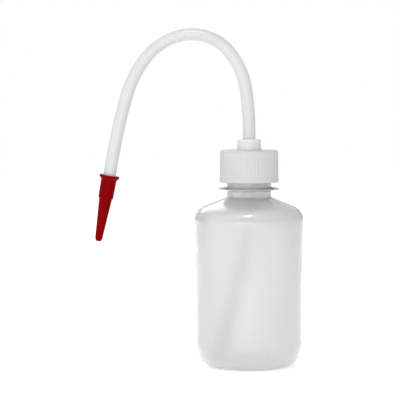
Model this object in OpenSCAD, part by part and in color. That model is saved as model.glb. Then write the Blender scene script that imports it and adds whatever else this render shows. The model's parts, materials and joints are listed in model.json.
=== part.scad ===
// Wash bottle: a squeezable bottle, a screw cap, a stem insert with its sealing washer,
// a swan-neck delivery tube with a push-on nozzle, and a dip tube.
// Millimetres, +Z up. The origin is on the bottle's axis, on the surface that it stands on,
// and the spout points towards -X.

/* [Bottle] */
// Diameter at which the lines of the side and the shoulder meet
body_d = 62.8; // [62:0.2:64]
// Outside diameter of the body at its slight waist
waist_d = 61; // [60:0.2:61.8]
// Outside diameter of the body just above the heel
heel_d = 61.7; // [61:0.1:62]
// Height of the waist
waist_z = 36; // [30:1:50]
// Height at which the lines of the side and the shoulder meet
shoulder_z = 90; // [89.4:0.2:90.6]
// Thickness of the body wall
wall = 1.2; // [0.9:0.1:1.5]
// Radius of the bend between the side and the shoulder
shoulder_bend = 8.8; // [8:0.2:9.6]
// Slope of the shoulder above the horizontal, in degrees
shoulder_slope = 21.5; // [20:0.5:22.5]
// Diameter at which the lines of the base and the heel meet
foot_d = 53.5; // [52.8:0.1:54.2]
// How far the middle of the base is pushed up
push_up = 1.8; // [1:0.1:2.4]

/* [Neck] */
// Diameter of the neck between its threads
neck_d = 25.5; // [25.4:0.1:25.7]
// Diameter of the neck's bore
neck_bore = 21.5; // [21.4:0.1:22]
// Height of the rim above the resting surface
rim_z = 120; // [119.8:0.1:120]
// Diameter over the thread's crest
thread_d = 27.9; // [27.5:0.1:28]
// Rise of the thread in one turn
thread_pitch = 4.233; // [4.2:0.001:4.25]
// Diameter of the thin ring below the thread
ring_d = 35.2; // [33:0.1:36]
// Height of the ring's edge above the resting surface
ring_z = 102.2; // [102:0.1:102.6]

/* [Screw cap] */
// Diameter over the ribs of the cap
cap_d = 33.5; // [33.3:0.1:34]
// Diameter of the plain band round the cap's mouth
cap_band_d = 34.3; // [34.1:0.1:35]
// Height of the cap
cap_h = 18.4; // [18.3:0.1:18.8]
// Thickness of the cap's top
cap_top_t = 2; // [1.8:0.1:2.2]
// Number of ribs round the cap
ribs = 48; // [40:2:60]
// Depth of the grooves between the ribs
rib_depth = 0.35; // [0.2:0.05:0.4]

/* [Stem insert] */
// Diameter of the collar that stands up through the cap
collar_d = 13.8; // [13:0.1:14]
// Height of the collar above the cap
collar_h = 6.2; // [5:0.2:8]
// Diameter of the flange that the cap presses on the rim
flange_d = 27.2; // [27:0.1:27.4]
// Length of the spigot below the flange
spigot_h = 16.5; // [15:0.5:18]

/* [Tubes] */
// Outside diameter of both tubes
tube_d = 7.2; // [6.8:0.1:7.4]
// Inside diameter of both tubes
tube_bore = 5; // [4.4:0.1:5.4]
// Height at which the delivery tube starts to bend
bend_z = 133.8; // [133:0.2:137]
// Straight length between the last bend and the nozzle
drop = 11.75; // [10:0.25:14]
// Height at which the dip tube starts to bend
dip_bend_z = 97; // [94:0.5:99]
// Radius of the dip tube's bend
dip_bend_r = 200; // [180:5:220]
// Angle through which the dip tube bends
dip_turn = 15.2; // [14:0.2:16]
// Height of the dip tube's open end
dip_end_z = 6; // [5.5:0.5:12]

/* [Nozzle] */
// Length of the nozzle
nozzle_h = 38.4; // [37:0.2:42]
// Diameter of the nozzle's lip
lip_d = 11.5; // [11:0.1:12.5]
// Outside diameter of the sleeve that grips the tube
sleeve_d = 8.9; // [8.8:0.1:9.4]
// Length of the sleeve, from the lip to the step
sleeve_h = 13.1; // [12.8:0.1:14]
// Diameter of the jet's bore
jet_d = 2; // [1.6:0.1:2.2]

/* [Hidden] */
$fn = 96;
past = 1;

// Bottle
foot_bend = 9.2;
dome_d = 33.6;
dome_edge_w = 4;
heel_bend = 6.4;
heel_z = 11.9;
neck_fillet = 1.7;
bore_fillet = 2;
ring_root_h = 2.6;
ring_tip_h = 0.4;
ring_tip_round = 0.1;
rim_chamfer = 0.4;
bore_chamfer = 0.3;
body_r = body_d / 2;
heel_r = heel_d / 2;
neck_r = neck_d / 2;
neck_bore_r = neck_bore / 2;
foot_r = foot_d / 2;
heel_lean = atan((heel_r - foot_r) / heel_z);

// Threads: the cap's thread sits just under the neck's, so that turning the cap pulls it down
thread_turns = 2.75;
thread_bottom = 105.4;
thread_root_half = 1.15;
thread_crest_half = 0.55;
thread_steps = 30;
thread_fade = 4;
thread_tip = 0.08;
thread_bury = 0.35;
cap_thread_crest_r = 13.2;
cap_thread_root_half = 0.95;
cap_thread_crest_half = 0.4;
cap_thread_first = 1.2;
cap_thread_turns = 1.75;
cap_thread_lift = 0.4;

// Closure, from the rim up: washer, flange, cap
seal_gap = 0.05;
flange_z = rim_z + 1;
flange_t = 1.4;
cap_gap = 0.1;
cap_under = flange_z + flange_t + cap_gap;
cap_top = cap_under + cap_top_t;
cap_bottom = cap_top - cap_h;
cap_bore_r = 14.35;
cap_hole_r = collar_d / 2 + 0.3;
cap_edge = 1.6;
cap_chamfer = 0.3;
cap_lead = 0.4;
cap_band_h = 1.8;
rib_rise = 0.3;
rib_crest = 0.2;
rib_root = 0.36;
bead_r = 13.15;
bead_half = 0.45;
bead_flat_half = 0.1;
bead_z = rim_z + 0.45;
washer_outer_r = 12.7;
washer_inner_r = 10.9;
flange_chamfer = 0.2;
collar_top = cap_top + collar_h;
collar_waist = 0.2;
collar_chamfer = 0.4;
plug_outer_r = neck_bore_r - 0.3;
plug_inner_r = plug_outer_r - 1.2;
plug_h = 3.6;
plug_lead = 0.3;
web_t = 1.2;
spigot_r = 5;
spigot_chamfer = 0.4;
spigot_bottom = flange_z - spigot_h;
spout_seat = spigot_bottom + 11.5;
dip_seat = spigot_bottom + 10;
running_clearance = 0.05;
tube_r = tube_d / 2;
tube_end_gap = 0.1;

// Bends of the delivery tube, from the collar to the nozzle: [radius, angle turned]
bends = [[166, 9], [42.6, 32], [27.75, 63], [35.8, 39], [65.8, 21], [330, 6]];
socket_depth = 12;
join_step = 0.02;
join_run = 0.4;

// Nozzle
lip_t = 1.1;
lip_round = 0.3;
lip_cone_h = 2.6;
sleeve_taper = 0.15;
socket_lead = 0.3;
step_d = 7.5;
step_h = 0.5;
tip_d = 4.3;
tip_round_h = 1.9;
tip_end_d = 2.6;
tip_end_round = 0.4;
jet_h = 6;
throat_d = 4;
throat_h = 3;

function unit(v) = v / norm(v);

// Points of the bend of radius r that rounds off the corner here, on the way from back to ahead
function bend(back, here, ahead, r, steps = 8) =
    let (b = unit(back - here),
         a = unit(ahead - here),
         turn = 180 - acos(a * b),
         middle = here + unit(a + b) * r / cos(turn / 2),
         first = here + b * r * tan(turn / 2) - middle,
         side = sign(first[1] * b[0] - first[0] * b[1]))
    [for (k = [0:steps]) let (c = side * turn * k / steps)
        middle + [first[0] * cos(c) - first[1] * sin(c), first[0] * sin(c) + first[1] * cos(c)]];

// An outline through [radius, height] corners, each rounded by its bend, where 0 leaves it sharp
function rounded(corners, bends) = [for (i = [0:len(corners) - 1])
    each bends[i] == 0 ? [corners[i]] : bend(corners[i - 1], corners[i], corners[i + 1], bends[i])];

// Corners of the bottle's side, from the foot to the root of a neck of radius neck, a depth t inside
// the outer surface
function side_corners(t, neck) = [
    [foot_r + t * (tan(heel_lean) - 1 / cos(heel_lean)), t],
    [heel_r - t, heel_z + t * tan(heel_lean / 2)],
    [waist_d / 2 - t, waist_z],
    [body_r - t, shoulder_z + t * (tan(shoulder_slope) - 1 / cos(shoulder_slope))],
    [neck, shoulder_z + (body_r - neck) * tan(shoulder_slope) - t / cos(shoulder_slope)]
];
function side_bends(t, fillet) = [foot_bend - t, heel_bend - t, 0, shoulder_bend - t, fillet];

// A helical thread, fading in and out at its ends; root_r is buried in the wall that carries it
module thread(root_r, crest_r, root_half, crest_half, bottom, first, turns) {
    n = round(turns * thread_steps);
    outward = crest_r > root_r;
    function share(k) = min(1, thread_tip + k / thread_fade, thread_tip + (n - k) / thread_fade);
    function section(k) =
        let (crest = root_r + (crest_r - root_r) * share(k),
             corners = [[root_r, -root_half], [crest, -crest_half], [crest, crest_half], [root_r, root_half]])
        outward ? corners : [for (i = [3:-1:0]) corners[i]];
    points = [for (k = [0:n])
        let (a = 360 * (first + k / thread_steps), z = bottom + thread_pitch * k / thread_steps)
        for (p = section(k)) [p[0] * cos(a), p[0] * sin(a), z + p[1]]];
    sides = [for (k = [0:n - 1], i = [0:3])
        let (here = 4 * k + i, beside = 4 * k + (i + 1) % 4)
        for (face = [[here, beside, beside + 4], [here, beside + 4, here + 4]]) face];
    last = 4 * n;
    ends = [[2, 1, 0], [3, 2, 0], [last, last + 1, last + 2], [last, last + 2, last + 3]];
    polyhedron(points, concat(sides, ends));
}

// Length k of a bent rod is a bend about the origin in the XZ plane, from angle a, turning from +X
// towards +Z. Every odd length is a hair thinner and runs a little way into both its neighbours.
module rod_bend(k, r, bend_r, a, turn) {
    odd = k % 2;
    more = odd * join_run / bend_r * 180 / PI;
    rotate([90, 0, 0]) rotate([0, 0, a - more]) rotate_extrude(angle = turn + 2 * more)
        translate([bend_r, 0]) circle(r = r - odd * join_step);
}

// Angle from +Z towards -X at which bend i of the delivery tube starts, and the [x, z] where it starts
function heading(i) = i == 0 ? 0 : heading(i - 1) + bends[i - 1][1];
function bend_start(i) = i == 0 ? [0, bend_z] : bend_start(i - 1) + bends[i - 1][0]
    * [cos(heading(i)) - cos(heading(i - 1)), sin(heading(i)) - sin(heading(i - 1))];

// Moves its children to where the bends end, with their +Z along the tube
module at_last_bend() {
    place = bend_start(len(bends));
    translate([place[0], 0, place[1]]) rotate([0, -heading(len(bends)), 0]) children();
}

module bottle() {
    dome_r = dome_d / 2;
    dome_top_r = dome_r - dome_edge_w;
    ring_r = ring_d / 2;
    color("gainsboro", 0.5) difference() {
        union() {
            rotate_extrude() polygon(rounded(
                concat(
                    [[0, push_up], [dome_top_r, push_up], [dome_r, 0]],
                    side_corners(0, neck_r),
                    [
                        [neck_r, ring_z - ring_root_h / 2],
                        [ring_r - ring_tip_round, ring_z - ring_tip_h / 2],
                        [ring_r, ring_z - ring_tip_h / 4],
                        [ring_r, ring_z + ring_tip_h / 4],
                        [ring_r - ring_tip_round, ring_z + ring_tip_h / 2],
                        [neck_r, ring_z + ring_root_h / 2],
                        [neck_r, rim_z - rim_chamfer],
                        [neck_r - rim_chamfer, rim_z],
                        [0, rim_z]
                    ]),
                concat([0, 0, 0], side_bends(0, neck_fillet), [for (i = [1:9]) 0])));
            thread(neck_r - thread_bury, thread_d / 2, thread_root_half, thread_crest_half,
                thread_bottom, 0, thread_turns);
        }
        rotate_extrude() polygon(rounded(
            concat(
                [[0, push_up + wall], [dome_top_r, push_up + wall], [dome_r, wall]],
                side_corners(wall, neck_bore_r),
                [
                    [neck_bore_r, rim_z - bore_chamfer],
                    [neck_bore_r + bore_chamfer, rim_z],
                    [neck_bore_r + bore_chamfer, rim_z + past],
                    [0, rim_z + past]
                ]),
            concat([0, 0, 0], side_bends(wall, bore_fillet), [0, 0, 0, 0])));
    }
}

// Outline of the ribbed skirt: four points a rib, at shares of the pitch from the rib's middle
module ribbed_outline() {
    crest_r = cap_d / 2;
    root_r = crest_r - rib_depth;
    polygon([for (i = [0:ribs - 1],
                  p = [[-rib_root, root_r], [-rib_crest, crest_r], [rib_crest, crest_r], [rib_root, root_r]])
        let (a = 360 * (i + p[0]) / ribs) p[1] * [cos(a), sin(a)]]);
}

module screw_cap() {
    band_r = cap_band_d / 2;
    groove_r = cap_d / 2 - rib_depth;
    band_top = cap_bottom + cap_band_h;
    edge_z = cap_top - cap_edge;
    ribs_bottom = cap_bottom + cap_band_h / 2;
    color("lightgrey") {
        difference() {
            union() {
                rotate_extrude() polygon(rounded(
                    [
                        [0, cap_bottom],
                        [band_r - cap_chamfer, cap_bottom],
                        [band_r, cap_bottom + cap_chamfer],
                        [band_r, cap_bottom + 2 * cap_chamfer],
                        [groove_r, band_top],
                        [groove_r, cap_top],
                        [0, cap_top]
                    ],
                    [0, 0, 0, 0, 0, cap_edge, 0]));
                translate([0, 0, ribs_bottom])
                    linear_extrude(edge_z + rib_rise - ribs_bottom) ribbed_outline();
            }
            rotate_extrude() polygon([
                [0, cap_bottom - past],
                [cap_bore_r + cap_lead, cap_bottom - past],
                [cap_bore_r + cap_lead, cap_bottom],
                [cap_bore_r, cap_bottom + 1.5 * cap_lead],
                [cap_bore_r, bead_z - bead_half],
                [bead_r, bead_z - bead_flat_half],
                [bead_r, bead_z + bead_flat_half],
                [cap_bore_r, bead_z + bead_half],
                [cap_bore_r, cap_under],
                [0, cap_under]
            ]);
            rotate_extrude() polygon([
                [0, cap_under - past],
                [cap_hole_r, cap_under - past],
                [cap_hole_r, cap_top - cap_chamfer],
                [cap_hole_r + cap_chamfer, cap_top],
                [cap_hole_r + cap_chamfer, cap_top + past],
                [0, cap_top + past]
            ]);
        }
        thread(cap_bore_r + thread_bury, cap_thread_crest_r, cap_thread_root_half, cap_thread_crest_half,
            thread_bottom + thread_pitch * (cap_thread_first - 0.5) + cap_thread_lift,
            cap_thread_first, cap_thread_turns);
    }
}

module stem_insert() {
    collar_r = collar_d / 2;
    flange_r = flange_d / 2;
    flange_top = flange_z + flange_t;
    socket_r = tube_r + running_clearance;
    color("whitesmoke") rotate_extrude() difference() {
        polygon([
            [0, spigot_bottom],
            [spigot_r - spigot_chamfer, spigot_bottom],
            [spigot_r, spigot_bottom + spigot_chamfer],
            [spigot_r, flange_z - web_t],
            [plug_inner_r, flange_z - web_t],
            [plug_inner_r, flange_z - plug_h],
            [plug_outer_r - plug_lead, flange_z - plug_h],
            [plug_outer_r, flange_z - plug_h + 2.5 * plug_lead],
            [plug_outer_r, flange_z],
            [flange_r - flange_chamfer, flange_z],
            [flange_r, flange_z + flange_chamfer],
            [flange_r, flange_top - flange_chamfer],
            [flange_r - flange_chamfer, flange_top],
            [collar_r, flange_top],
            [collar_r, cap_top + collar_chamfer],
            [collar_r - collar_waist, cap_top + collar_h / 2],
            [collar_r, collar_top - 2 * collar_chamfer],
            [collar_r - collar_chamfer, collar_top],
            [0, collar_top]
        ]);
        polygon([
            [0, spout_seat],
            [socket_r, spout_seat],
            [socket_r, collar_top - collar_chamfer],
            [tube_r + collar_chamfer, collar_top],
            [tube_r + collar_chamfer, collar_top + past],
            [0, collar_top + past]
        ]);
        translate([0, dip_seat - past]) square([tube_bore / 2, spout_seat - dip_seat + 2 * past]);
        translate([0, spigot_bottom - past]) square([tube_r, dip_seat - spigot_bottom + past]);
    }
}

module sealing_washer() {
    color("white") rotate_extrude() translate([washer_inner_r, rim_z + seal_gap])
        square([washer_outer_r - washer_inner_r, flange_z - rim_z - seal_gap]);
}

// The delivery tube's path as a rod of radius r, past both ends by the length over
module delivery_rod(r, over = 0) {
    bottom = spout_seat + tube_end_gap - over;
    last = len(bends) + 1;
    odd = last % 2;
    translate([0, 0, bottom]) cylinder(h = bend_z - bottom, r = r);
    for (i = [0:len(bends) - 1]) {
        centre = bend_start(i) - bends[i][0] * [cos(heading(i)), sin(heading(i))];
        translate([centre[0], 0, centre[1]]) rod_bend(i + 1, r, bends[i][0], heading(i), bends[i][1]);
    }
    at_last_bend() translate([0, 0, -odd * join_run])
        cylinder(h = odd * join_run + drop + socket_depth + over, r = r - odd * join_step);
}

module delivery_tube() {
    color("lightgrey") difference() {
        delivery_rod(tube_r);
        delivery_rod(tube_bore / 2, 1);
    }
}

// The dip tube's path as a rod of radius r, past both ends by the length over
module dip_rod(r, over = 0) {
    bend_end = dip_bend_r * [cos(dip_turn) - 1, -sin(dip_turn)] + [0, dip_bend_z];
    translate([0, 0, dip_bend_z]) cylinder(h = dip_seat - dip_bend_z + over, r = r);
    translate([-dip_bend_r, 0, dip_bend_z]) rod_bend(1, r, dip_bend_r, -dip_turn, dip_turn);
    translate([bend_end[0], 0, bend_end[1]]) rotate([0, 180 + dip_turn, 0])
        cylinder(h = (bend_end[1] - dip_end_z) / cos(dip_turn) + over, r = r);
}

module dip_tube() {
    color("lightgrey") difference() {
        dip_rod(tube_r);
        dip_rod(tube_bore / 2, 1);
    }
}

module nozzle() {
    lip_r = lip_d / 2;
    sleeve_r = sleeve_d / 2;
    socket_r = tube_r + running_clearance;
    seat = socket_depth + 0.2;
    tip_end_r = tip_end_d / 2;
    jet_start = nozzle_h - jet_h;
    color("darkred") at_last_bend() translate([0, 0, drop]) rotate_extrude() difference() {
        polygon([
            [0, 0],
            [lip_r - lip_round, 0],
            [lip_r, lip_round],
            [lip_r, lip_t - lip_round],
            [lip_r - lip_round, lip_t],
            [sleeve_r, lip_cone_h],
            [sleeve_r - sleeve_taper, sleeve_h],
            [step_d / 2, sleeve_h + step_h],
            [tip_d / 2, nozzle_h - tip_round_h],
            [tip_end_r + tip_end_round, nozzle_h - tip_end_round],
            [tip_end_r, nozzle_h],
            [0, nozzle_h]
        ]);
        polygon([
            [0, -past],
            [socket_r + socket_lead, -past],
            [socket_r + socket_lead, 0],
            [socket_r, socket_lead],
            [socket_r, seat],
            [0, seat]
        ]);
        polygon([
            [0, seat - past],
            [tube_bore / 2, seat - past],
            [tube_bore / 2, seat],
            [throat_d / 2, seat + throat_h],
            [jet_d / 2, jet_start],
            [0, jet_start]
        ]);
        translate([0, jet_start - past]) square([jet_d / 2, jet_h + 2 * past]);
    }
}

bottle();
screw_cap();
stem_insert();
sealing_washer();
delivery_tube();
dip_tube();
nozzle();
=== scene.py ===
"""The looks of a squeeze wash bottle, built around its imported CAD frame.

Every piece stands exactly where its CAD node does and takes its place. Lengths are in metres.
"""

import json
import math

import bmesh
import bpy
from mathutils import Matrix, Vector


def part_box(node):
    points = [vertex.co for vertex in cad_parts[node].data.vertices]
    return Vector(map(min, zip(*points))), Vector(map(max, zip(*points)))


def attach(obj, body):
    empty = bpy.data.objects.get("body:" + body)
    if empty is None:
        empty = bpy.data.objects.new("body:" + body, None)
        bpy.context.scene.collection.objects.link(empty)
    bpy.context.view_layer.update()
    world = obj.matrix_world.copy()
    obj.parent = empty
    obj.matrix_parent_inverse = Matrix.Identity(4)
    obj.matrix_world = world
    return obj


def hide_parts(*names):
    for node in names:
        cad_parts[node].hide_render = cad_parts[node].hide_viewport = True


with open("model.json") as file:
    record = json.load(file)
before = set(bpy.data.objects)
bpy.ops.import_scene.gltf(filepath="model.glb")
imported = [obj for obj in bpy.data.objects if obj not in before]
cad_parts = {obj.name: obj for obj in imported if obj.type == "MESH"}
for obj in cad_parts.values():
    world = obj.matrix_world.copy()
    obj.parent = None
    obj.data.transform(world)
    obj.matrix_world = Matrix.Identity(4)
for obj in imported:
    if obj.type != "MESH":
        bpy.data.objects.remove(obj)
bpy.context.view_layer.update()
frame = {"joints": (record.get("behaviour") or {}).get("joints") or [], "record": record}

MM = 0.001
ON_AXIS = 1e-9  # m, nearer to the axis than this is on it
AT_WALL = 1e-6  # m, nearer to a wall's radius than this is on it
SAME_PLACE = 1e-7  # m, vertices nearer than this are joined

# roundings of edges, from the sharpest
CRISP, FINE, SOFT, BLUNT, FULL = 0.1 * MM, 0.2 * MM, 0.3 * MM, 0.4 * MM, 0.5 * MM

# ---------------------------------------------------------------- sizes, from the frame where it says

bottle_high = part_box("bottle")[1]
cap_low, cap_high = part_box("screw_cap")
insert_low, insert_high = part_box("stem_insert")
washer_low, washer_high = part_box("sealing_washer")
nozzle_joint = next(j for j in frame["joints"] if j["name"] == "nozzle_pull")
jet = next(m for m in frame["record"]["mounts"] if m["name"] == "jet_outlet")

RIM_Z = bottle_high.z
CAP_BAND_R = cap_high.x
FLANGE_R = insert_high.x
FLANGE_Z = washer_high.z

WALL = 1.2 * MM
FOOT_R = 26.75 * MM  # where the lines of the base and the heel meet
FOOT_BEND = 9.2 * MM
HEEL_R, HEEL_Z = 30.85 * MM, 11.9 * MM
HEEL_BEND = 6.4 * MM
HEEL_LEAN = math.atan((HEEL_R - FOOT_R) / HEEL_Z)
WAIST_R, WAIST_Z = 30.5 * MM, 36 * MM
WAIST_BEND = 800 * MM
SHOULDER_R, SHOULDER_Z = 31.4 * MM, 90 * MM  # where the lines of the side and the shoulder meet
SHOULDER_BEND = 8.8 * MM
SHOULDER_SLOPE = math.radians(21.5)
DOME_R, DOME_TOP_R, DOME_H = 16.8 * MM, 12.8 * MM, 1.8 * MM
DOME_BEND, DOME_EDGE_BEND = 6 * MM, 1.2 * MM
NECK_R = 12.75 * MM
NECK_BORE_R = 10.75 * MM
NECK_BEND, BORE_BEND = 1.7 * MM, 2 * MM
RING_R, RING_Z = 17.6 * MM, 102.2 * MM
RING_ROOT, RING_EDGE = 1.3 * MM, 0.2 * MM  # half heights
BOTTLE_SEGMENTS = 180
SIDE_STEP, THREAD_STEP = 2 * MM, 0.16 * MM  # longest rows of the mesh, on the side and on the thread
SIDE_FROM = 10 * MM
THREAD_END_GAP = 0.5 * MM  # from the last fine row to the rim

THREAD_PITCH = 4.233 * MM
THREAD_START = 105.4 * MM
THREAD_TURNS = 2.75
THREAD_HEIGHT = 1.2 * MM
THREAD_ROOT, THREAD_CREST = 1.15 * MM, 0.55 * MM  # half widths
THREAD_ENDS = 8  # steepness of a thread's ends, per turn
CAP_THREAD_FIRST = 1.2  # turns from the bottle's first thread to the cap's
CAP_THREAD_TURNS = 1.75
CAP_THREAD_LIFT = 0.4 * MM
CAP_THREAD_STEP, CAP_THREAD_FROM = 0.25 * MM, 0.9 * MM
CAP_THREAD_HEIGHT = 1.15 * MM
CAP_THREAD_ROOT, CAP_THREAD_CREST = 0.95 * MM, 0.4 * MM

RIBS = 48
RIB_DEPTH = 0.35 * MM
RIB_SHARPNESS = 1.6
POINTS_A_RIB = 8
RIB_TOP_GAP, RIB_FOOT, RIB_END = 1.3 * MM, 1.9 * MM, 0.8 * MM
GROOVE_R = 16.75 * MM
CAP_TOP_T = 2 * MM
CAP_TOP_IN, CAP_FOOT_OUT = 0.1 * MM, 0.05 * MM  # how far the side leans
CAP_SKIN = 2 * MM  # depth from the grooves that still counts as the outside
CAP_TOP_BEND, CAP_HOLE_BEND = 1.6 * MM, 0.35 * MM
BAND_H, BAND_TOP, BAND_FOOT_BEND = 1.2 * MM, 2.2 * MM, 0.25 * MM
MOUTH_STEP, MOUTH_H = 0.4 * MM, 0.8 * MM
CAP_BORE_R = 14.35 * MM
CAP_HOLE_R = 7.2 * MM
BEAD_HALF = 0.45 * MM
BEAD_Z = RIM_Z + BEAD_HALF
BEAD_BEND = 0.15 * MM

FLANGE_T = 1.4 * MM
COLLAR_R = 6.9 * MM
COLLAR_WAIST_IN, COLLAR_TOP_OUT = 0.2 * MM, 0.05 * MM
COLLAR_FOOT = 0.5 * MM  # above the cap
COLLAR_FOOT_BEND, COLLAR_WAIST_BEND, COLLAR_TOP_BEND = 0.8 * MM, 8 * MM, 0.7 * MM
PLUG_R, PLUG_BORE_R, PLUG_H = 10.45 * MM, 9.25 * MM, 3.6 * MM
SPIGOT_R = 5 * MM
WEB_T = 1.2 * MM
SPOUT_SEAT, DIP_SEAT = 11.5 * MM, 10 * MM  # above the spigot's end
WASHER_BORE_R = 10.9 * MM

TUBE_R = 3.6 * MM
TUBE_BORE_R = 2.5 * MM
TUBE_EASE = 0.25 * MM
SOCKET_R = TUBE_R + 0.05 * MM
TUBE_SEGMENTS, TURNED_SEGMENTS, NOZZLE_SEGMENTS = 48, 128, 96
TUBE_FOOT_Z = 116.1 * MM
BEND_Z = 133.8 * MM
BENDS = [(166, 9), (42.6, 32), (27.75, 63), (35.8, 39), (65.8, 21), (330, 6)]  # radius in mm, degrees
STEP_DEGREES, STEP_LENGTH = 2, 3 * MM  # longest steps along the bends
STRAIGHT_STEPS = 5
DROP = 11.75 * MM
SOCKET = 12 * MM

DIP_TOP_Z = 114.5 * MM
DIP_BEND_Z = 97 * MM
DIP_BEND_R = 200 * MM
DIP_TURN = math.radians(15.2)
DIP_END_Z = 6 * MM
DIP_TOP_STEPS, DIP_STEPS, DIP_FOOT_STEPS = 6, 18, 8

LIP_R, LIP_T, LIP_CONE_H, LIP_BEND = 5.75 * MM, 1.1 * MM, 2.6 * MM, 0.35 * MM
SEAT_GAP = 0.2 * MM
SLEEVE_R, SLEEVE_H, SLEEVE_TAPER = 4.45 * MM, 13.1 * MM, 0.15 * MM
SLEEVE_BEND, SLEEVE_END_BEND = 0.8 * MM, 0.25 * MM
STEP_R, STEP_H = 3.75 * MM, 0.5 * MM
TIP_R, TIP_ROUND_H, TIP_END_R, TIP_BEND = 2.15 * MM, 1.9 * MM, 1.55 * MM, 1.5 * MM
THROAT_R, THROAT_H, THROAT_BEND = 2 * MM, 3 * MM, 1 * MM
NOZZLE_H = 38.4 * MM
JET_R = jet["dims"]["r_mm"] * MM
JET_H = jet["dims"]["length_mm"] * MM

# ---------------------------------------------------------------- looks, light and camera

CLOUDS, DRIFT, WAVES, GRAIN = 45, 160, 40, 900  # noise scales of tint, roughness, slow waves and grain
ROUGHNESS_DRIFT = 0.03
NOISE_LOW, NOISE_HIGH = 0.3, 0.7  # a noise's middle range
WHITE = (1, 1, 1, 1)
WORLD_SEEN, WORLD_LIGHT = 1.0, 0.6  # the background as it is seen and as it lights
SOFTBOXES = [  # name, place, aim, width, height, watts
    ("strip_softbox", (0, -0.58, 1.02), (0, 0, 0.09), 0.3, 0.04, 5),
    ("key_softbox", (-1.1, -0.3, 0.4), (0, 0, 0.09), 0.8, 1.0, 2.5),
    ("back_softbox", (-0.3, 1.2, 0.9), (0, 0, 0.09), 1.2, 0.8, 5),
    ("front_softbox", (-0.2, -1.5, 0.04), (0, 0, 0.11), 1.0, 1.0, 7.5),
]
FLOOR_R, FLOOR_DROP, FLOOR_GLOW = 2.2, 0.00005, 0.45
FLOOR_CLOUDS, FLOOR_SEGMENTS, FLOOR_ROUGHNESS = 3, 96, 0.9
FLOOR_TINTS = (0.93, 0.93, 0.93), (0.95, 0.95, 0.95)
CAMERA_PLACE = (-0.0282, -1.028, 0.164)
CAMERA_DIP = 3.8  # degrees below level
CAMERA_LENS, CAMERA_SENSOR = 161.4, 36  # mm
CAMERA_NEAR, CAMERA_FAR = 0.05, 50


# ---------------------------------------------------------------- shapes

def rounded(corners, degrees_a_step=7):
    """The outline through (radius, height, fillet) corners, each fillet drawn as an arc."""
    outline = []
    for i, (x, z, fillet) in enumerate(corners):
        here = Vector((x, z))
        if not fillet or i in (0, len(corners) - 1):
            outline.append((x, z))
            continue
        back = (Vector(corners[i - 1][:2]) - here).normalized()
        ahead = (Vector(corners[i + 1][:2]) - here).normalized()
        turn = math.pi - back.angle(ahead)
        middle = here + (back + ahead).normalized() * fillet / math.cos(turn / 2)
        first = here + back * fillet * math.tan(turn / 2) - middle
        side = 1 if first.y * back.x - first.x * back.y > 0 else -1
        steps = max(2, math.ceil(math.degrees(turn) / degrees_a_step))
        for k in range(steps + 1):
            a = side * turn * k / steps
            outline.append((
                middle.x + first.x * math.cos(a) - first.y * math.sin(a),
                middle.y + first.x * math.sin(a) + first.y * math.cos(a),
            ))
    return outline


def divided(outline, longest, low=-math.inf, high=math.inf):
    """The same outline with its upright stretches between two heights cut to at most that length."""
    cut = [outline[0]]
    for (x0, z0), (x1, z1) in zip(outline, outline[1:]):
        upright = abs(x1 - x0) < abs(z1 - z0) and min(z0, z1) > low and max(z0, z1) < high
        n = max(1, math.ceil(abs(z1 - z0) / longest)) if upright else 1
        cut += [(x0 + (x1 - x0) * k / n, z0 + (z1 - z0) * k / n) for k in range(1, n + 1)]
    return cut


def make_object(name, vertices, faces, sharp_degrees=38):
    """A smooth-shaded object with its sharp edges marked and its faces turned outwards."""
    mesh = bpy.data.meshes.new(name)
    mesh.from_pydata([tuple(v) for v in vertices], [], faces)
    bm = bmesh.new()
    bm.from_mesh(mesh)
    bmesh.ops.remove_doubles(bm, verts=bm.verts, dist=SAME_PLACE)
    bmesh.ops.recalc_face_normals(bm, faces=bm.faces)
    for edge in bm.edges:
        shallow = edge.calc_face_angle(0) < math.radians(sharp_degrees)
        edge.smooth = len(edge.link_faces) == 2 and shallow
    for face in bm.faces:
        face.smooth = True
    bm.to_mesh(mesh)
    bm.free()
    piece = bpy.data.objects.new(name, mesh)
    bpy.context.scene.collection.objects.link(piece)
    weighted = piece.modifiers.new("weighted", "WEIGHTED_NORMAL")
    weighted.keep_sharp = True
    return piece


def lathe(name, outline, segments, shift=None, place=None):
    """A turned piece. An outline that starts and ends on the axis is closed there; any other is a ring.

    shift(radius, height, angle) says how far a point moves outwards.
    """
    solid = outline[0][0] < ON_AXIS and outline[-1][0] < ON_AXIS
    vertices, rows = [], []
    for x, z in outline:
        if x < ON_AXIS:
            rows.append([len(vertices)] * segments)
            vertices.append(Vector((0, 0, z)))
            continue
        rows.append(list(range(len(vertices), len(vertices) + segments)))
        for k in range(segments):
            a = 2 * math.pi * k / segments
            r = x + (shift(x, z, a) if shift else 0)
            vertices.append(Vector((r * math.cos(a), r * math.sin(a), z)))
    if not solid:
        rows.append(rows[0])
    faces = []
    for lower, upper in zip(rows, rows[1:]):
        for k in range(segments):
            j = (k + 1) % segments
            corners = [lower[k], lower[j], upper[j], upper[k]]
            corners = [c for i, c in enumerate(corners) if c not in corners[:i]]
            if len(corners) > 2:
                faces.append(corners)
    if place is not None:
        vertices = [place @ v for v in vertices]
    return make_object(name, vertices, faces)


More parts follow.
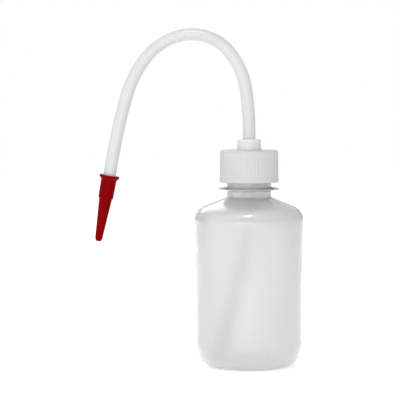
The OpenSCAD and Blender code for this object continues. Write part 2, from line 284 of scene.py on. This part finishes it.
def tube(name, path):
    """A hollow tube along path, a list of (point, direction) in the XZ plane, with eased cut ends."""
    ease = TUBE_EASE
    across = Vector((0, 1, 0))
    vertices, faces = [], []

    def ring(point, direction, r, ahead):
        side = Vector((direction.z, 0, -direction.x))
        start = len(vertices)
        for k in range(TUBE_SEGMENTS):
            a = 2 * math.pi * k / TUBE_SEGMENTS
            outwards = side * math.cos(a) + across * math.sin(a)
            vertices.append(point + direction * ahead + outwards * r)
        return start

    first, last = path[0], path[-1]
    loop = [ring(*first, TUBE_R - ease, 0), ring(*first, TUBE_R, ease)]
    loop += [ring(*place, TUBE_R, 0) for place in path[1:-1]]
    loop += [ring(*last, TUBE_R, -ease), ring(*last, TUBE_R - ease, 0)]
    loop += [ring(*last, TUBE_BORE_R + ease, 0), ring(*last, TUBE_BORE_R, -ease)]
    loop += [ring(*place, TUBE_BORE_R, 0) for place in reversed(path[1:-1])]
    loop += [ring(*first, TUBE_BORE_R, ease), ring(*first, TUBE_BORE_R + ease, 0)]
    for a, b in zip(loop, loop[1:] + loop[:1]):
        for k in range(TUBE_SEGMENTS):
            j = (k + 1) % TUBE_SEGMENTS
            faces.append([a + k, a + j, b + j, b + k])
    return make_object(name, vertices, faces)


def ridge(distance, root, crest):
    """Height of a thread's profile, 0 to 1, at a distance along the axis from its middle."""
    return min(1, max(0, (root - abs(distance)) / (root - crest)))


def thread_height(z, angle, start, first, turns, root, crest):
    """How far a helical thread stands out, 0 to 1, at a height and an angle."""
    turn = ((angle / (2 * math.pi)) - first) % 1
    best = 0
    while turn <= turns:
        fade = min(1, turn * THREAD_ENDS, (turns - turn) * THREAD_ENDS)
        best = max(best, fade * ridge(z - start - turn * THREAD_PITCH, root, crest))
        turn += 1
    return best


# ---------------------------------------------------------------- the pieces

def side_corners(depth, neck_r, neck_bend):
    """The bottle's side from the foot to the root of the neck, as corners at a depth under its surface."""
    lean = depth * (math.tan(HEEL_LEAN) - 1 / math.cos(HEEL_LEAN))
    drop = depth * (math.tan(SHOULDER_SLOPE) - 1 / math.cos(SHOULDER_SLOPE))
    root_rise = (SHOULDER_R - neck_r) * math.tan(SHOULDER_SLOPE) - depth / math.cos(SHOULDER_SLOPE)
    return [
        (FOOT_R + lean, depth, FOOT_BEND - depth),
        (HEEL_R - depth, HEEL_Z + depth * math.tan(HEEL_LEAN / 2), HEEL_BEND - depth),
        (WAIST_R - depth, WAIST_Z, WAIST_BEND),
        (SHOULDER_R - depth, SHOULDER_Z + drop, SHOULDER_BEND - depth),
        (neck_r, SHOULDER_Z + root_rise, neck_bend),
    ]


def make_bottle():
    outer = rounded([
        (0, DOME_H, 0),
        (DOME_TOP_R, DOME_H, DOME_BEND),
        (DOME_R, 0, DOME_EDGE_BEND),
        *side_corners(0, NECK_R, NECK_BEND),
        (NECK_R, RING_Z - RING_ROOT, SOFT),
        (RING_R, RING_Z - RING_EDGE, CRISP),
        (RING_R, RING_Z + RING_EDGE, CRISP),
        (NECK_R, RING_Z + RING_ROOT, SOFT),
        (NECK_R, RIM_Z, BLUNT),
        (NECK_BORE_R, RIM_Z, BLUNT),
    ])
    inner = rounded([
        (NECK_BORE_R, RIM_Z, 0),
        *reversed(side_corners(WALL, NECK_BORE_R, BORE_BEND)),
        (DOME_R, WALL, DOME_EDGE_BEND),
        (DOME_TOP_R, DOME_H + WALL, DOME_BEND),
        (0, DOME_H + WALL, 0),
    ])[1:]
    outline = divided(outer + inner, SIDE_STEP, SIDE_FROM, SHOULDER_Z)
    outline = divided(outline, THREAD_STEP, RING_Z + RING_ROOT, RIM_Z - THREAD_END_GAP)

    def thread(x, z, angle):
        if abs(x - NECK_R) > AT_WALL or z < RING_Z + RING_ROOT:
            return 0
        return THREAD_HEIGHT * thread_height(
            z, angle, THREAD_START, 0, THREAD_TURNS, THREAD_ROOT, THREAD_CREST)

    return lathe("bottle_shell", outline, BOTTLE_SEGMENTS, thread)


def make_cap():
    top, bottom = cap_high.z, cap_low.z
    under = top - CAP_TOP_T
    thread_bottom = THREAD_START + THREAD_PITCH * (CAP_THREAD_FIRST - 0.5) + CAP_THREAD_LIFT
    outline = rounded([
        (CAP_HOLE_R, under, 0),
        (CAP_HOLE_R, top, CAP_HOLE_BEND),
        (GROOVE_R - CAP_TOP_IN, top, CAP_TOP_BEND),
        (GROOVE_R + CAP_FOOT_OUT, bottom + BAND_TOP, BLUNT),
        (CAP_BAND_R, bottom + BAND_H, SOFT),
        (CAP_BAND_R, bottom, BAND_FOOT_BEND),
        (CAP_BORE_R + MOUTH_STEP, bottom, FINE),
        (CAP_BORE_R, bottom + MOUTH_H, SOFT),
        (CAP_BORE_R, BEAD_Z - BEAD_HALF, FINE),
        (CAP_BORE_R - CAP_THREAD_HEIGHT, BEAD_Z, BEAD_BEND),
        (CAP_BORE_R, BEAD_Z + BEAD_HALF, FINE),
        (CAP_BORE_R, under, FINE),
        (CAP_HOLE_R, under, 0),
    ])[:-1]
    outline = divided(outline, CAP_THREAD_STEP, bottom + CAP_THREAD_FROM, BEAD_Z - BEAD_HALF)
    rib_top, rib_bottom = top - RIB_TOP_GAP, bottom + RIB_FOOT

    def shift(x, z, angle):
        if abs(x - CAP_BORE_R) < AT_WALL and z < BEAD_Z - BEAD_HALF:
            return -CAP_THREAD_HEIGHT * thread_height(
                z, angle, thread_bottom, CAP_THREAD_FIRST, CAP_THREAD_TURNS,
                CAP_THREAD_ROOT, CAP_THREAD_CREST)
        if x < GROOVE_R - CAP_SKIN or not rib_bottom < z < rib_top:
            return 0
        ends = min(1, (z - rib_bottom) / RIB_END, (rib_top - z) / RIB_END)
        groove = 0.5 - 0.5 * math.cos(angle * RIBS)
        return -RIB_DEPTH * ends * groove ** RIB_SHARPNESS

    return lathe("cap_shell", outline, RIBS * POINTS_A_RIB, shift)


def make_insert():
    top, bottom = insert_high.z, insert_low.z
    outline = rounded([
        (TUBE_R, bottom, 0),
        (SPIGOT_R, bottom, BLUNT),
        (SPIGOT_R, FLANGE_Z - WEB_T, FULL),
        (PLUG_BORE_R, FLANGE_Z - WEB_T, FULL),
        (PLUG_BORE_R, FLANGE_Z - PLUG_H, SOFT),
        (PLUG_R, FLANGE_Z - PLUG_H, FULL),
        (PLUG_R, FLANGE_Z, FINE),
        (FLANGE_R, FLANGE_Z, FINE),
        (FLANGE_R, FLANGE_Z + FLANGE_T, FINE),
        (COLLAR_R, FLANGE_Z + FLANGE_T, SOFT),
        (COLLAR_R, cap_high.z + COLLAR_FOOT, COLLAR_FOOT_BEND),
        (COLLAR_R - COLLAR_WAIST_IN, (cap_high.z + top) / 2, COLLAR_WAIST_BEND),
        (COLLAR_R + COLLAR_TOP_OUT, top, COLLAR_TOP_BEND),
        (SOCKET_R, top, BLUNT),
        (SOCKET_R, bottom + SPOUT_SEAT, CRISP),
        (TUBE_BORE_R, bottom + SPOUT_SEAT, CRISP),
        (TUBE_BORE_R, bottom + DIP_SEAT, CRISP),
        (TUBE_R, bottom + DIP_SEAT, CRISP),
        (TUBE_R, bottom, 0),
    ])[:-1]
    return lathe("insert_collar", outline, TURNED_SEGMENTS)


def make_washer():
    low, high, outer_r = washer_low.z, washer_high.z, washer_high.x
    middle = (WASHER_BORE_R + outer_r) / 2
    outline = rounded([
        (middle, low, 0),
        (outer_r, low, FINE),
        (outer_r, high, FINE),
        (WASHER_BORE_R, high, FINE),
        (WASHER_BORE_R, low, FINE),
        (middle, low, 0),
    ])[:-1]
    return lathe("foam_washer", outline, TURNED_SEGMENTS)


def delivery_path():
    """Points and directions along the delivery tube, from its foot in the insert to the nozzle's socket."""
    up = Vector((0, 0, 1))
    rise = BEND_Z - TUBE_FOOT_Z
    path = [(Vector((0, 0, TUBE_FOOT_Z + rise * k / STRAIGHT_STEPS)), up) for k in range(STRAIGHT_STEPS)]
    x, z, heading = 0, BEND_Z, 0
    for radius, degrees in BENDS:
        r, turn = radius * MM, math.radians(degrees)
        middle_x, middle_z = x - r * math.cos(heading), z - r * math.sin(heading)
        steps = max(2, math.ceil(degrees / STEP_DEGREES), math.ceil(r * turn / STEP_LENGTH))
        for k in range(steps):
            a = heading + turn * k / steps
            point = Vector((middle_x + r * math.cos(a), 0, middle_z + r * math.sin(a)))
            path.append((point, Vector((-math.sin(a), 0, math.cos(a)))))
        heading += turn
        x, z = middle_x + r * math.cos(heading), middle_z + r * math.sin(heading)
    ahead = Vector((-math.sin(heading), 0, math.cos(heading)))
    end = Vector((x, 0, z))
    drop = ahead * (DROP + SOCKET)
    path += [(end + drop * k / STRAIGHT_STEPS, ahead) for k in range(STRAIGHT_STEPS + 1)]
    return path


def dip_path():
    """Points and directions along the dip tube, from the insert down to its open end."""
    down = Vector((0, 0, -1))
    fall = DIP_BEND_Z - DIP_TOP_Z
    path = [(Vector((0, 0, DIP_TOP_Z + fall * k / DIP_TOP_STEPS)), down) for k in range(DIP_TOP_STEPS)]
    for k in range(DIP_STEPS):
        a = DIP_TURN * k / DIP_STEPS
        point = Vector((DIP_BEND_R * (math.cos(a) - 1), 0, DIP_BEND_Z - DIP_BEND_R * math.sin(a)))
        path.append((point, Vector((-math.sin(a), 0, -math.cos(a)))))
    ahead = Vector((-math.sin(DIP_TURN), 0, -math.cos(DIP_TURN)))
    start_x = DIP_BEND_R * (math.cos(DIP_TURN) - 1)
    start = Vector((start_x, 0, DIP_BEND_Z - DIP_BEND_R * math.sin(DIP_TURN)))
    length = (start.z - DIP_END_Z) / math.cos(DIP_TURN)
    path += [(start + ahead * length * k / DIP_FOOT_STEPS, ahead) for k in range(DIP_FOOT_STEPS + 1)]
    return path


def make_nozzle():
    seat = SOCKET + SEAT_GAP
    cut_z = seat / 2  # a height in the socket, where the closed outline starts and ends
    outline = rounded([
        (SOCKET_R, cut_z, 0),
        (SOCKET_R, 0, LIP_BEND),
        (LIP_R, 0, LIP_BEND),
        (LIP_R, LIP_T, LIP_BEND),
        (SLEEVE_R, LIP_CONE_H, SLEEVE_BEND),
        (SLEEVE_R - SLEEVE_TAPER, SLEEVE_H, SLEEVE_END_BEND),
        (STEP_R, SLEEVE_H + STEP_H, SOFT),
        (TIP_R, NOZZLE_H - TIP_ROUND_H, TIP_BEND),
        (TIP_END_R, NOZZLE_H, FULL),
        (JET_R, NOZZLE_H, FINE),
        (JET_R, NOZZLE_H - JET_H, THROAT_BEND),
        (THROAT_R, seat + THROAT_H, THROAT_BEND),
        (TUBE_BORE_R, seat, CRISP),
        (SOCKET_R, seat, FINE),
        (SOCKET_R, cut_z, 0),
    ])[:-1]
    axis = Vector(nozzle_joint["axis"]).normalized()
    lip = Vector(jet["pos_m"]) - axis * (NOZZLE_H - JET_H / 2)
    side = Vector((axis.z, 0, -axis.x))
    place = Matrix((
        (side.x, 0, axis.x, lip.x),
        (side.y, -1, axis.y, lip.y),
        (side.z, 0, axis.z, lip.z),
        (0, 0, 0, 1),
    ))
    return lathe("nozzle_tip", outline, NOZZLE_SEGMENTS, place=place)


# ---------------------------------------------------------------- materials

class Nodes:
    """A material's node tree, with short calls to add and join nodes."""

    def __init__(self, name):
        self.material = bpy.data.materials.new(name)
        self.material.use_nodes = True
        self.tree = self.material.node_tree
        self.shader = self.tree.nodes["Principled BSDF"]
        self.place = self.add("ShaderNodeTexCoord").outputs["Object"]

    def add(self, kind, **settings):
        node = self.tree.nodes.new(kind)
        for key, value in settings.items():
            setattr(node, key, value)
        return node

    def join(self, source, target):
        self.tree.links.new(source, target)

    def noise(self, scale, detail=3.0):
        """Noise over the piece, in patches of about 1 / scale metres."""
        noise = self.add("ShaderNodeTexNoise")
        noise.inputs["Scale"].default_value = scale
        noise.inputs["Detail"].default_value = detail
        self.join(self.place, noise.inputs["Vector"])
        return noise.outputs["Fac"]

    def between(self, value, low, high):
        """The value's middle range as low to high."""
        span = self.add("ShaderNodeMapRange")
        span.inputs["From Min"].default_value = NOISE_LOW
        span.inputs["From Max"].default_value = NOISE_HIGH
        span.inputs["To Min"].default_value = low
        span.inputs["To Max"].default_value = high
        self.join(value, span.inputs["Value"])
        return span.outputs["Result"]

    def tint(self, value, one, other):
        """A colour between two, by a value's middle range."""
        mix = self.add("ShaderNodeMix", data_type="RGBA")
        mix.inputs["A"].default_value = (*one, 1)
        mix.inputs["B"].default_value = (*other, 1)
        self.join(self.between(value, 0, 1), mix.inputs["Factor"])
        return mix.outputs["Result"]

    def bump(self, heights):
        """Bumps laid on each other, each as (value, depth in metres)."""
        normal = None
        for value, depth in heights:
            bump = self.add("ShaderNodeBump")
            bump.inputs["Strength"].default_value = 1.0
            bump.inputs["Distance"].default_value = depth
            self.join(value, bump.inputs["Height"])
            if normal is not None:
                self.join(normal, bump.inputs["Normal"])
            normal = bump.outputs["Normal"]
        self.join(normal, self.shader.inputs["Normal"])

    def set(self, **values):
        for name, value in values.items():
            self.shader.inputs[name.replace("_", " ")].default_value = value


def plastic(name, one, other, rough, waves, grain, ior=1.5, **settings):
    """A moulded plastic: two near tints in clouds, a drifting roughness, slow waves and a fine grain."""
    m = Nodes(name)
    m.join(m.tint(m.noise(CLOUDS), one, other), m.shader.inputs["Base Color"])
    drift = m.between(m.noise(DRIFT, 4), rough - ROUGHNESS_DRIFT, rough + ROUGHNESS_DRIFT)
    m.join(drift, m.shader.inputs["Roughness"])
    m.bump([(m.noise(WAVES, 1), waves), (m.noise(GRAIN, 1), grain)])
    m.set(IOR=ior, **settings)
    return m.material


def make_materials():
    return {
        "bottle_ldpe": plastic(
            "bottle_ldpe", (0.85, 0.85, 0.85), (0.87, 0.87, 0.87), 0.4, 0.00002, 0.0000005,
            1.51, Transmission_Weight=0.76, Coat_Weight=1.0, Coat_Roughness=0.02),
        "tube_ldpe": plastic(
            "tube_ldpe", (0.53, 0.53, 0.53), (0.56, 0.56, 0.56), 0.3, 0.000005, 0.0000005,
            1.51, Specular_IOR_Level=0.3),
        "cap_pp": plastic(
            "cap_pp", (0.48, 0.48, 0.48), (0.51, 0.51, 0.51), 0.45, 0.00002, 0.000002,
            Specular_IOR_Level=0.3),
        "insert_ldpe": plastic(
            "insert_ldpe", (0.63, 0.63, 0.63), (0.66, 0.66, 0.66), 0.36, 0.00002, 0.000004),
        "washer_foam": plastic(
            "washer_foam", (0.78, 0.78, 0.75), (0.86, 0.86, 0.83), 0.8, 0.00005, 0.00003),
        "nozzle_red": plastic(
            "nozzle_red", (0.17, 0.0, 0.001), (0.21, 0.0, 0.001), 0.3, 0.00002, 0.000003,
            Specular_IOR_Level=0.02),
    }


# ---------------------------------------------------------------- the studio

def make_world():
    """A white background, which lights the scene less than it is seen."""
    bpy.context.scene.view_settings.view_transform = "Standard"
    world = bpy.data.worlds.new("studio")
    bpy.context.scene.world = world
    world.use_nodes = True
    tree = world.node_tree
    seen = tree.nodes["Background"]
    seen.inputs["Color"].default_value = WHITE
    seen.inputs["Strength"].default_value = WORLD_SEEN
    light = tree.nodes.new("ShaderNodeBackground")
    light.inputs["Color"].default_value = WHITE
    light.inputs["Strength"].default_value = WORLD_LIGHT
    path = tree.nodes.new("ShaderNodeLightPath")
    either = tree.nodes.new("ShaderNodeMath")
    either.operation = "MAXIMUM"
    mix = tree.nodes.new("ShaderNodeMixShader")
    tree.links.new(path.outputs["Is Camera Ray"], either.inputs[0])
    tree.links.new(path.outputs["Is Transmission Ray"], either.inputs[1])
    tree.links.new(either.outputs[0], mix.inputs["Fac"])
    tree.links.new(light.outputs[0], mix.inputs[1])
    tree.links.new(seen.outputs[0], mix.inputs[2])
    tree.links.new(mix.outputs[0], tree.nodes["World Output"].inputs["Surface"])


def make_lights():
    for name, place, aim, width, height, watts in SOFTBOXES:
        data = bpy.data.lights.new(name, "AREA")
        data.shape = "RECTANGLE"
        data.size, data.size_y, data.energy = width, height, watts
        lamp = bpy.data.objects.new(name, data)
        lamp.location = place
        lamp.rotation_euler = (Vector(aim) - Vector(place)).to_track_quat("-Z", "Y").to_euler()
        bpy.context.scene.collection.objects.link(lamp)


def make_floor():
    bpy.ops.mesh.primitive_circle_add(
        vertices=FLOOR_SEGMENTS, radius=FLOOR_R, fill_type="NGON", location=(0, 0, -FLOOR_DROP))
    floor = bpy.context.object
    floor.name = "floor"
    m = Nodes("floor_white")
    m.join(m.tint(m.noise(FLOOR_CLOUDS), *FLOOR_TINTS), m.shader.inputs["Base Color"])
    m.set(Roughness=FLOOR_ROUGHNESS, Emission_Color=WHITE, Emission_Strength=FLOOR_GLOW)
    floor.data.materials.append(m.material)


def make_camera():
    data = bpy.data.cameras.new("camera")
    data.sensor_width = CAMERA_SENSOR
    data.lens = CAMERA_LENS
    data.clip_start, data.clip_end = CAMERA_NEAR, CAMERA_FAR
    camera = bpy.data.objects.new("camera", data)
    camera.location = CAMERA_PLACE
    camera.rotation_euler = (math.radians(90 - CAMERA_DIP), 0, 0)
    bpy.context.scene.collection.objects.link(camera)
    bpy.context.scene.camera = camera


def main():
    make_camera()
    make_world()
    make_lights()
    make_floor()
    materials = make_materials()
    pieces = [
        (make_bottle(), "bottle", "bottle", "bottle_ldpe"),
        (make_cap(), "screw_cap", "cap", "cap_pp"),
        (make_insert(), "stem_insert", "stem", "insert_ldpe"),
        (make_washer(), "sealing_washer", "stem", "washer_foam"),
        (tube("swan_neck_tube", delivery_path()), "delivery_tube", "spout", "tube_ldpe"),
        (tube("dip_tube_shell", dip_path()), "dip_tube", "stem", "tube_ldpe"),
        (make_nozzle(), "nozzle", "nozzle", "nozzle_red"),
    ]
    for piece, node, body, slot in pieces:
        piece.data.materials.append(materials[slot])
        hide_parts(node)
        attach(piece, body)


main()
